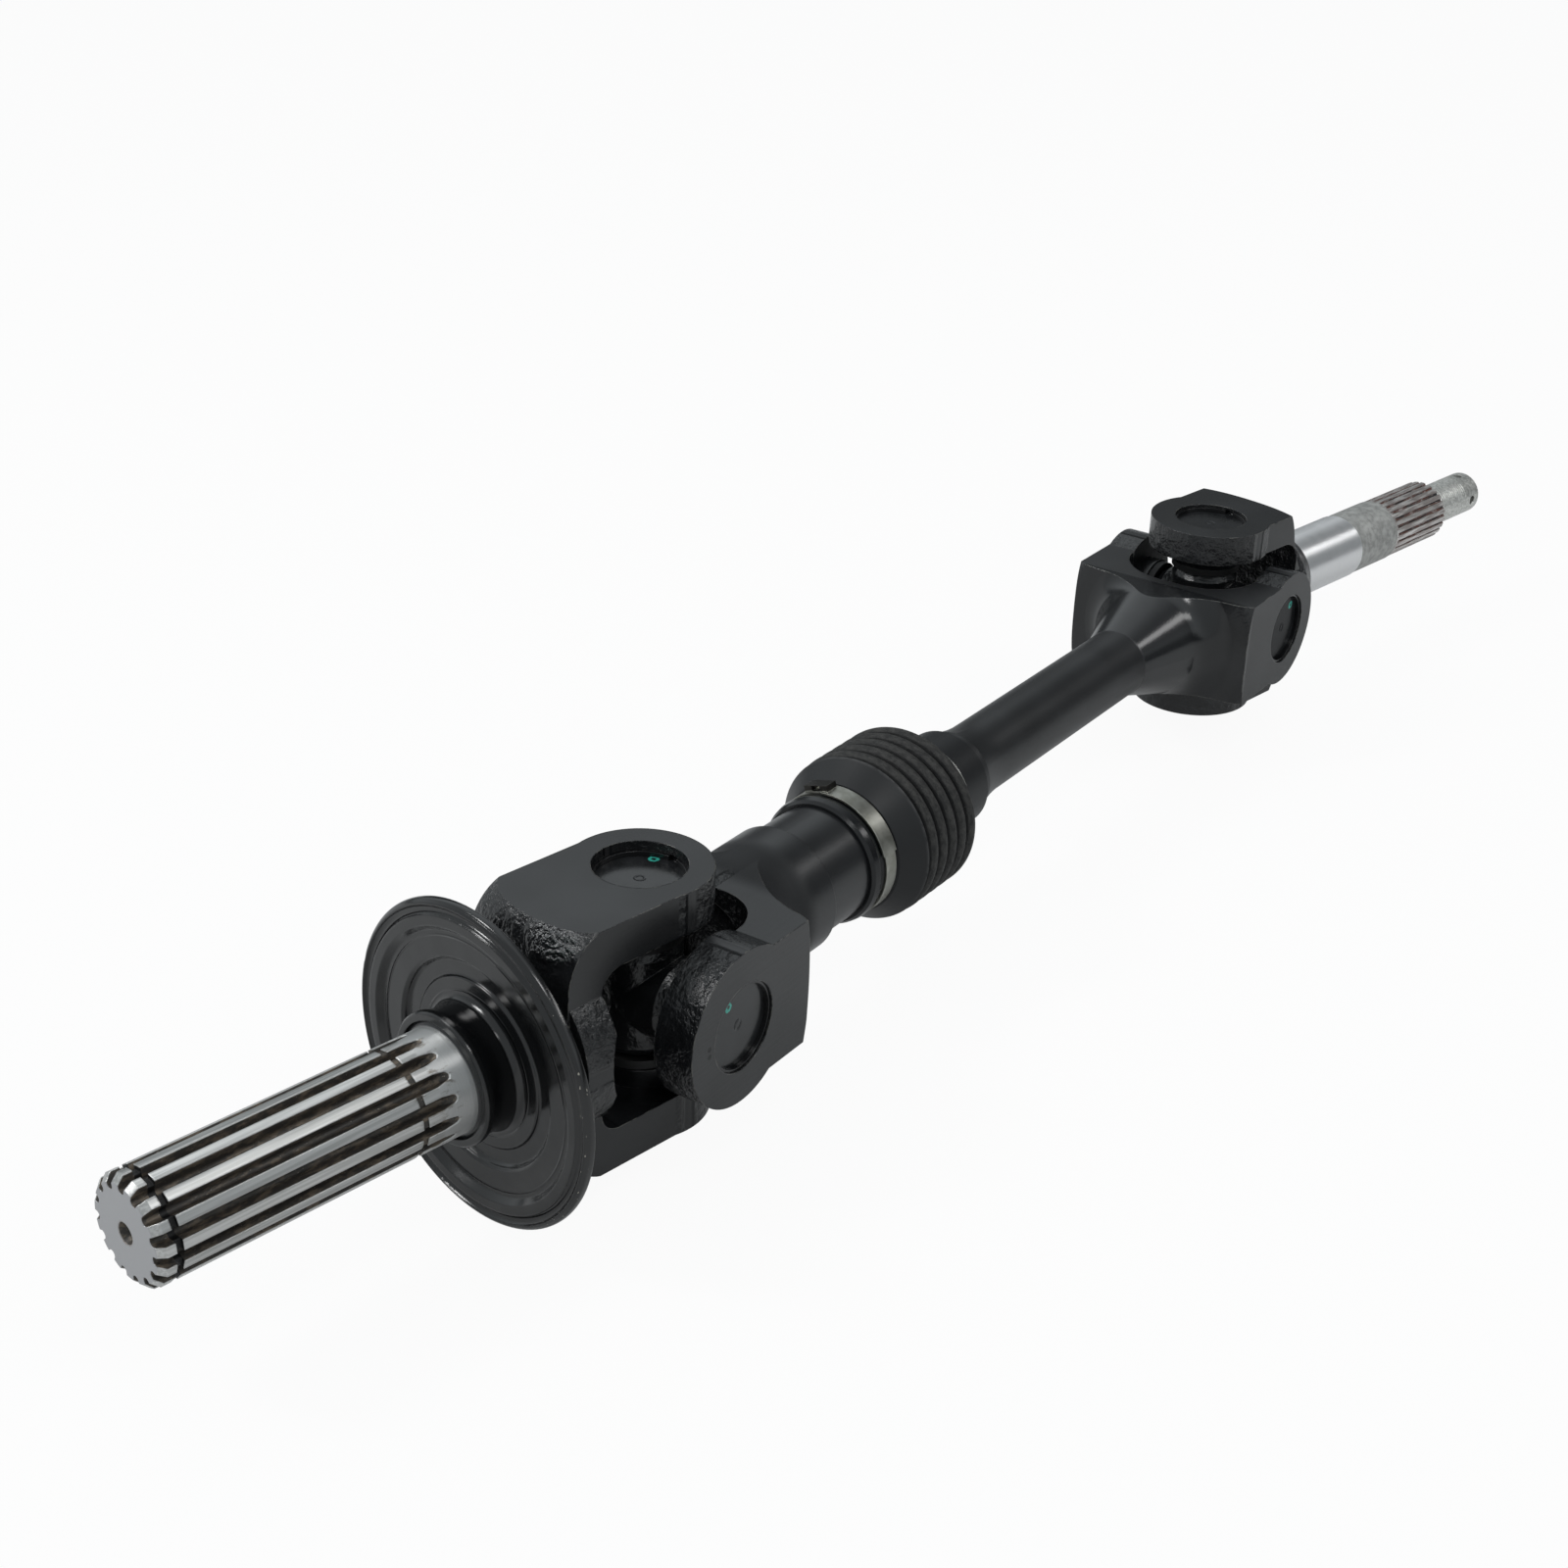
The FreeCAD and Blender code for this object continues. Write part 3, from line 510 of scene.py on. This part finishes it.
def shield():
    """Gloss black pressing with fine chips near its rim."""
    g = Graph("shield_finish")
    p = g.local(J1, -BEND)
    parts = g.split(p)
    r = g.radius(parts)
    wave = g.noise(p, 0.05, 2.0)
    ripple = g.noise(p, 0.9, 2.0)
    rim = g.times(g.between(r, *SHIELD_RIM_R, 0.4), g.step(parts["Y"], -24, -30))
    chip = g.times(rim, g.step(g.noise(g.stretch(p, (1.5, 1.5, 0.5)), 0.9, 1.0), 0.73, 0.76))
    creases = g.most(*[g.between(r, at, at + 0.5, 0.25) for at in SHIELD_CREASES_R])
    height = g.plus(g.times(wave, 0.6), g.times(ripple, 0.02))
    height = g.plus(height, g.times(creases, 0.25))
    normal = g.bump(height, 0.6 * MM, g.soft_edges(0.8 * MM))
    return g.set(Base_Color=g.mix(chip, (0.0020, 0.0022, 0.0026), (0.30, 0.28, 0.24)),
                 Roughness=g.blend(chip, 0.15, 0.5), Normal=normal, Specular_IOR_Level=0.6)


def boot():
    """Satin rubber, dusty and dry on the folds, shiny on the cuff, with painted shade in the fold valleys
    and a painted highlight along the first crest.
    """
    g = Graph("boot_finish")
    p = g.local(J1, 0.0)
    parts = g.split(p)
    x, r = parts[0], g.radius(parts)
    folds = g.between(x, *BOOT_FOLDS, 0.6)
    cuff = g.step(x, *BOOT_CUFF)
    dust = g.noise(g.stretch(p, (1.0, 0.5, 0.5)), 0.8, 5.0, 0.65)
    speck = g.step(g.noise(p, 2.6, 2.0), 0.66, 0.72)
    ridge = g.times(folds, g.step(r, *BOOT_RIDGE_R))
    dusty = g.mix(g.step(dust, 0.3, 0.7), (0.007, 0.007, 0.007), (0.034, 0.033, 0.031))
    rubber = g.mix(ridge, (0.0066, 0.0071, 0.0080), dusty)
    rubber = g.mix(g.times(g.times(folds, speck), 0.35), rubber, (0.12, 0.115, 0.105))
    # Painted shade: the fold valleys, inside the given radius, are darkened to near black
    valley_shade = g.times(g.between(x, *BOOT_SHADED_VALLEYS, 0.2), g.step(r, *BOOT_SHADED_VALLEY_R))
    rubber = g.mix(valley_shade, rubber, (0.003, 0.003, 0.003))
    # Painted highlight: a lighter grey line along the first crest, broken up by the dust noise
    crest_highlight = g.times(g.between(x, *BOOT_CREST_HIGHLIGHT, 0.4), g.step(dust, 0.3, 0.6))
    rubber = g.mix(crest_highlight, rubber, (0.035, 0.035, 0.036))
    roughness = g.blend(folds, g.blend(cuff, 0.42, 0.16), 0.62)
    height = g.plus(g.times(dust, g.blend(folds, 0.05, 0.8)), g.times(g.noise(p, 3.0, 2.0), 0.06))
    return g.set(Base_Color=rubber, Roughness=roughness, Normal=g.bump(height, 0.4 * MM),
                 Specular_IOR_Level=0.32)


def band(name, bright, stained, ear_r):
    """Warm stainless band, finely brushed around the boot, with a dark ear."""
    g = Graph(name)
    p = g.local(J1, 0.0)
    ear = g.step(g.radius(g.split(p)), ear_r, ear_r + 0.3)
    brushed = g.noise(g.stretch(p, (6.0, 0.25, 0.25)), 1.0, 3.0)
    stain = g.noise(p, 0.3, 3.0)
    colour = g.mix(g.step(stain, 0.35, 0.7), bright, stained)
    colour = g.mix(ear, colour, (0.045, 0.043, 0.040))
    normal = g.bump(brushed, 0.03 * MM, g.soft_edges(0.25 * MM))
    roughness = g.step(brushed, 0.3, 0.7, 0.28, 0.42)
    return g.set(Base_Color=colour, Roughness=roughness, Metallic=1.0, Normal=normal)


def dress_all():
    dress(["inner_stub_yoke"], inner_stub())
    dress(["outer_stub_yoke"], outer_stub())
    dress(["slip_yoke", "slip_yoke_plug"], slip_yoke())
    dress(["shaft_yoke"], shaft_yoke())
    dress(["inner_cross", "outer_cross"], cross())
    dress(["dust_shield"], shield())
    # Both bands are the same stainless steel. The small band's colours are painted lighter than the large
    # band's: painted light for its shaded seat between the boot's last fold and its cuff.
    dress(["large_clamp"], band("large_band_finish", (0.37, 0.37, 0.335), (0.28, 0.28, 0.245), LARGE_EAR_R))
    dress(["small_clamp"], band("small_band_painted_lighter", (0.62, 0.62, 0.60), (0.48, 0.48, 0.45), SMALL_EAR_R))
    ring = plain("ring_steel", (0.004, 0.004, 0.0045), 0.22)
    seal = plain("seal_rubber", (0.008, 0.008, 0.008), 0.55)
    rollers = plain("roller_steel", (0.55, 0.55, 0.55), 0.25, 1.0)
    for end, joint in (("inner", J1), ("outer", J2)):
        for side, across in (("top", "Y"), ("bottom", "Y"), ("front", "Z"), ("rear", "Z")):
            name = f"{end}_cup_{side}"
            gloss = 0.05 if (end, side) == ("outer", "front") else PAINT_GLOSS
            dress([name], cup(f"{name}_finish", joint, across, DABS.get((end, side)), gloss))
            dress([f"{end}_snap_ring_{side}"], ring)
            dress([f"{end}_seal_{side}"], seal)
            dress([f"{end}_needles_{side}"], rollers)


def bellows():
    """The boot's own shape again, as a copy of its mesh with its own finish, in place of the hidden boot.
    """
    node = NODES["boot"]
    obj = bpy.data.objects.new("bellows", node.data.copy())
    SCENE.collection.objects.link(obj)
    obj.data.materials.clear()
    obj.data.materials.append(boot())
    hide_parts("boot")
    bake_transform(obj)


def floor():
    mesh = bpy.data.meshes.new("floor")
    reach = FLOOR_REACH
    corners = [(-reach, -reach, 0), (reach, -reach, 0), (reach, reach, 0), (-reach, reach, 0)]
    mesh.from_pydata(corners, [], [(0, 1, 2, 3)])
    obj = bpy.data.objects.new("floor", mesh)
    SCENE.collection.objects.link(obj)
    g = Graph("pale_floor")
    g.set(Base_Color=FLOOR_GREY, Roughness=0.9, Specular_IOR_Level=0.1)
    glow = g.add("Emission")
    glow.inputs["Color"].default_value = PURE_WHITE
    path = g.add("LightPath").outputs
    mirrored = g.most(path["Is Glossy Ray"], path["Is Transmission Ray"])
    seen = g.most(g.times(path["Is Camera Ray"], FLOOR_SEEN), g.times(mirrored, MIRRORED))
    mixer = g.add("MixShader")
    g.link(seen, mixer.inputs[0])
    g.link(g.bsdf.outputs[0], mixer.inputs[1])
    g.link(glow.outputs[0], mixer.inputs[2])
    g.link(mixer.outputs[0], g.tree.nodes["Material Output"].inputs["Surface"])
    mesh.materials.append(g.mat)


def world():
    """Studio with a dim corner, a low dim band and a dimmer camera side, plain white to the camera."""
    studio = bpy.data.worlds.new("studio")
    SCENE.world = studio
    studio.use_nodes = True
    tree = studio.node_tree
    way = tree.nodes.new("ShaderNodeTexCoord").outputs["Generated"]
    level = shade(tree, way, *DIM_CORNER)
    level = joined(tree, "MULTIPLY", level, shade(tree, way, *CAMERA_SIDE))
    level = joined(tree, "MULTIPLY", level, shade(tree, way, *LOW_BAND))
    path = tree.nodes.new("ShaderNodeLightPath").outputs
    mirrored = joined(tree, "MAXIMUM", path["Is Glossy Ray"], path["Is Transmission Ray"])
    level = joined(tree, "MAXIMUM", level, joined(tree, "MULTIPLY", mirrored, MIRRORED))
    level = joined(tree, "MAXIMUM", level, path["Is Camera Ray"])
    tint = tree.nodes.new("ShaderNodeMix")
    tint.data_type = "RGBA"
    tint.inputs[6].default_value = COOL_WHITE
    tint.inputs[7].default_value = PURE_WHITE
    tree.links.new(path["Is Camera Ray"], tint.inputs["Factor"])
    back = tree.nodes["Background"]
    tree.links.new(tint.outputs[2], back.inputs["Color"])
    tree.links.new(level, back.inputs["Strength"])


def joined(tree, operation, a, b):
    """One maths node of a socket and another socket or number."""
    node = tree.nodes.new("ShaderNodeMath")
    node.operation = operation
    tree.links.new(a, node.inputs[0])
    if isinstance(b, bpy.types.NodeSocket):
        tree.links.new(b, node.inputs[1])
    else:
        node.inputs[1].default_value = b
    return node.outputs[0]


def shade(tree, way, towards, span, values):
    """Runs from the first value to the second as the view turns towards a direction."""
    dot = tree.nodes.new("ShaderNodeVectorMath")
    dot.operation = "DOT_PRODUCT"
    dot.inputs[1].default_value = towards
    tree.links.new(way, dot.inputs[0])
    ramp = tree.nodes.new("ShaderNodeMapRange")
    ramp.interpolation_type = "SMOOTHSTEP"
    tree.links.new(dot.outputs["Value"], ramp.inputs["Value"])
    for socket, value in zip(("From Min", "From Max", "To Min", "To Max"), (*span, *values)):
        ramp.inputs[socket].default_value = value
    return ramp.outputs["Result"]


def lamp(name, turn, height, width, tall, power):
    """Soft box at a compass turn and height angle as seen from the part, facing it."""
    a, b = math.radians(turn), math.radians(height)
    way = Vector((math.cos(b) * math.cos(a), math.cos(b) * math.sin(a), math.sin(b)))
    data = bpy.data.lights.new(name, "AREA")
    data.shape = "RECTANGLE"
    data.size = width
    data.size_y = tall
    data.energy = power
    obj = bpy.data.objects.new(name, data)
    obj.location = way * LAMP_DISTANCE
    obj.rotation_euler = way.to_track_quat("Z", "Y").to_euler()
    SCENE.collection.objects.link(obj)


def camera():
    data = bpy.data.cameras.new("camera")
    data.sensor_width = SENSOR_WIDTH
    data.sensor_fit = "HORIZONTAL"
    data.lens = LENS
    obj = bpy.data.objects.new("camera", data)
    turn = Matrix((CAMERA_RIGHT, CAMERA_UP, -CAMERA_AHEAD)).transposed().to_4x4()
    obj.matrix_world = Matrix.Translation(J1 + CAMERA_AT) @ turn
    SCENE.collection.objects.link(obj)
    SCENE.camera = obj


dress_all()
bellows()
floor()
world()
for lamp_name, settings in LAMPS.items():
    lamp(lamp_name, *settings)
camera()
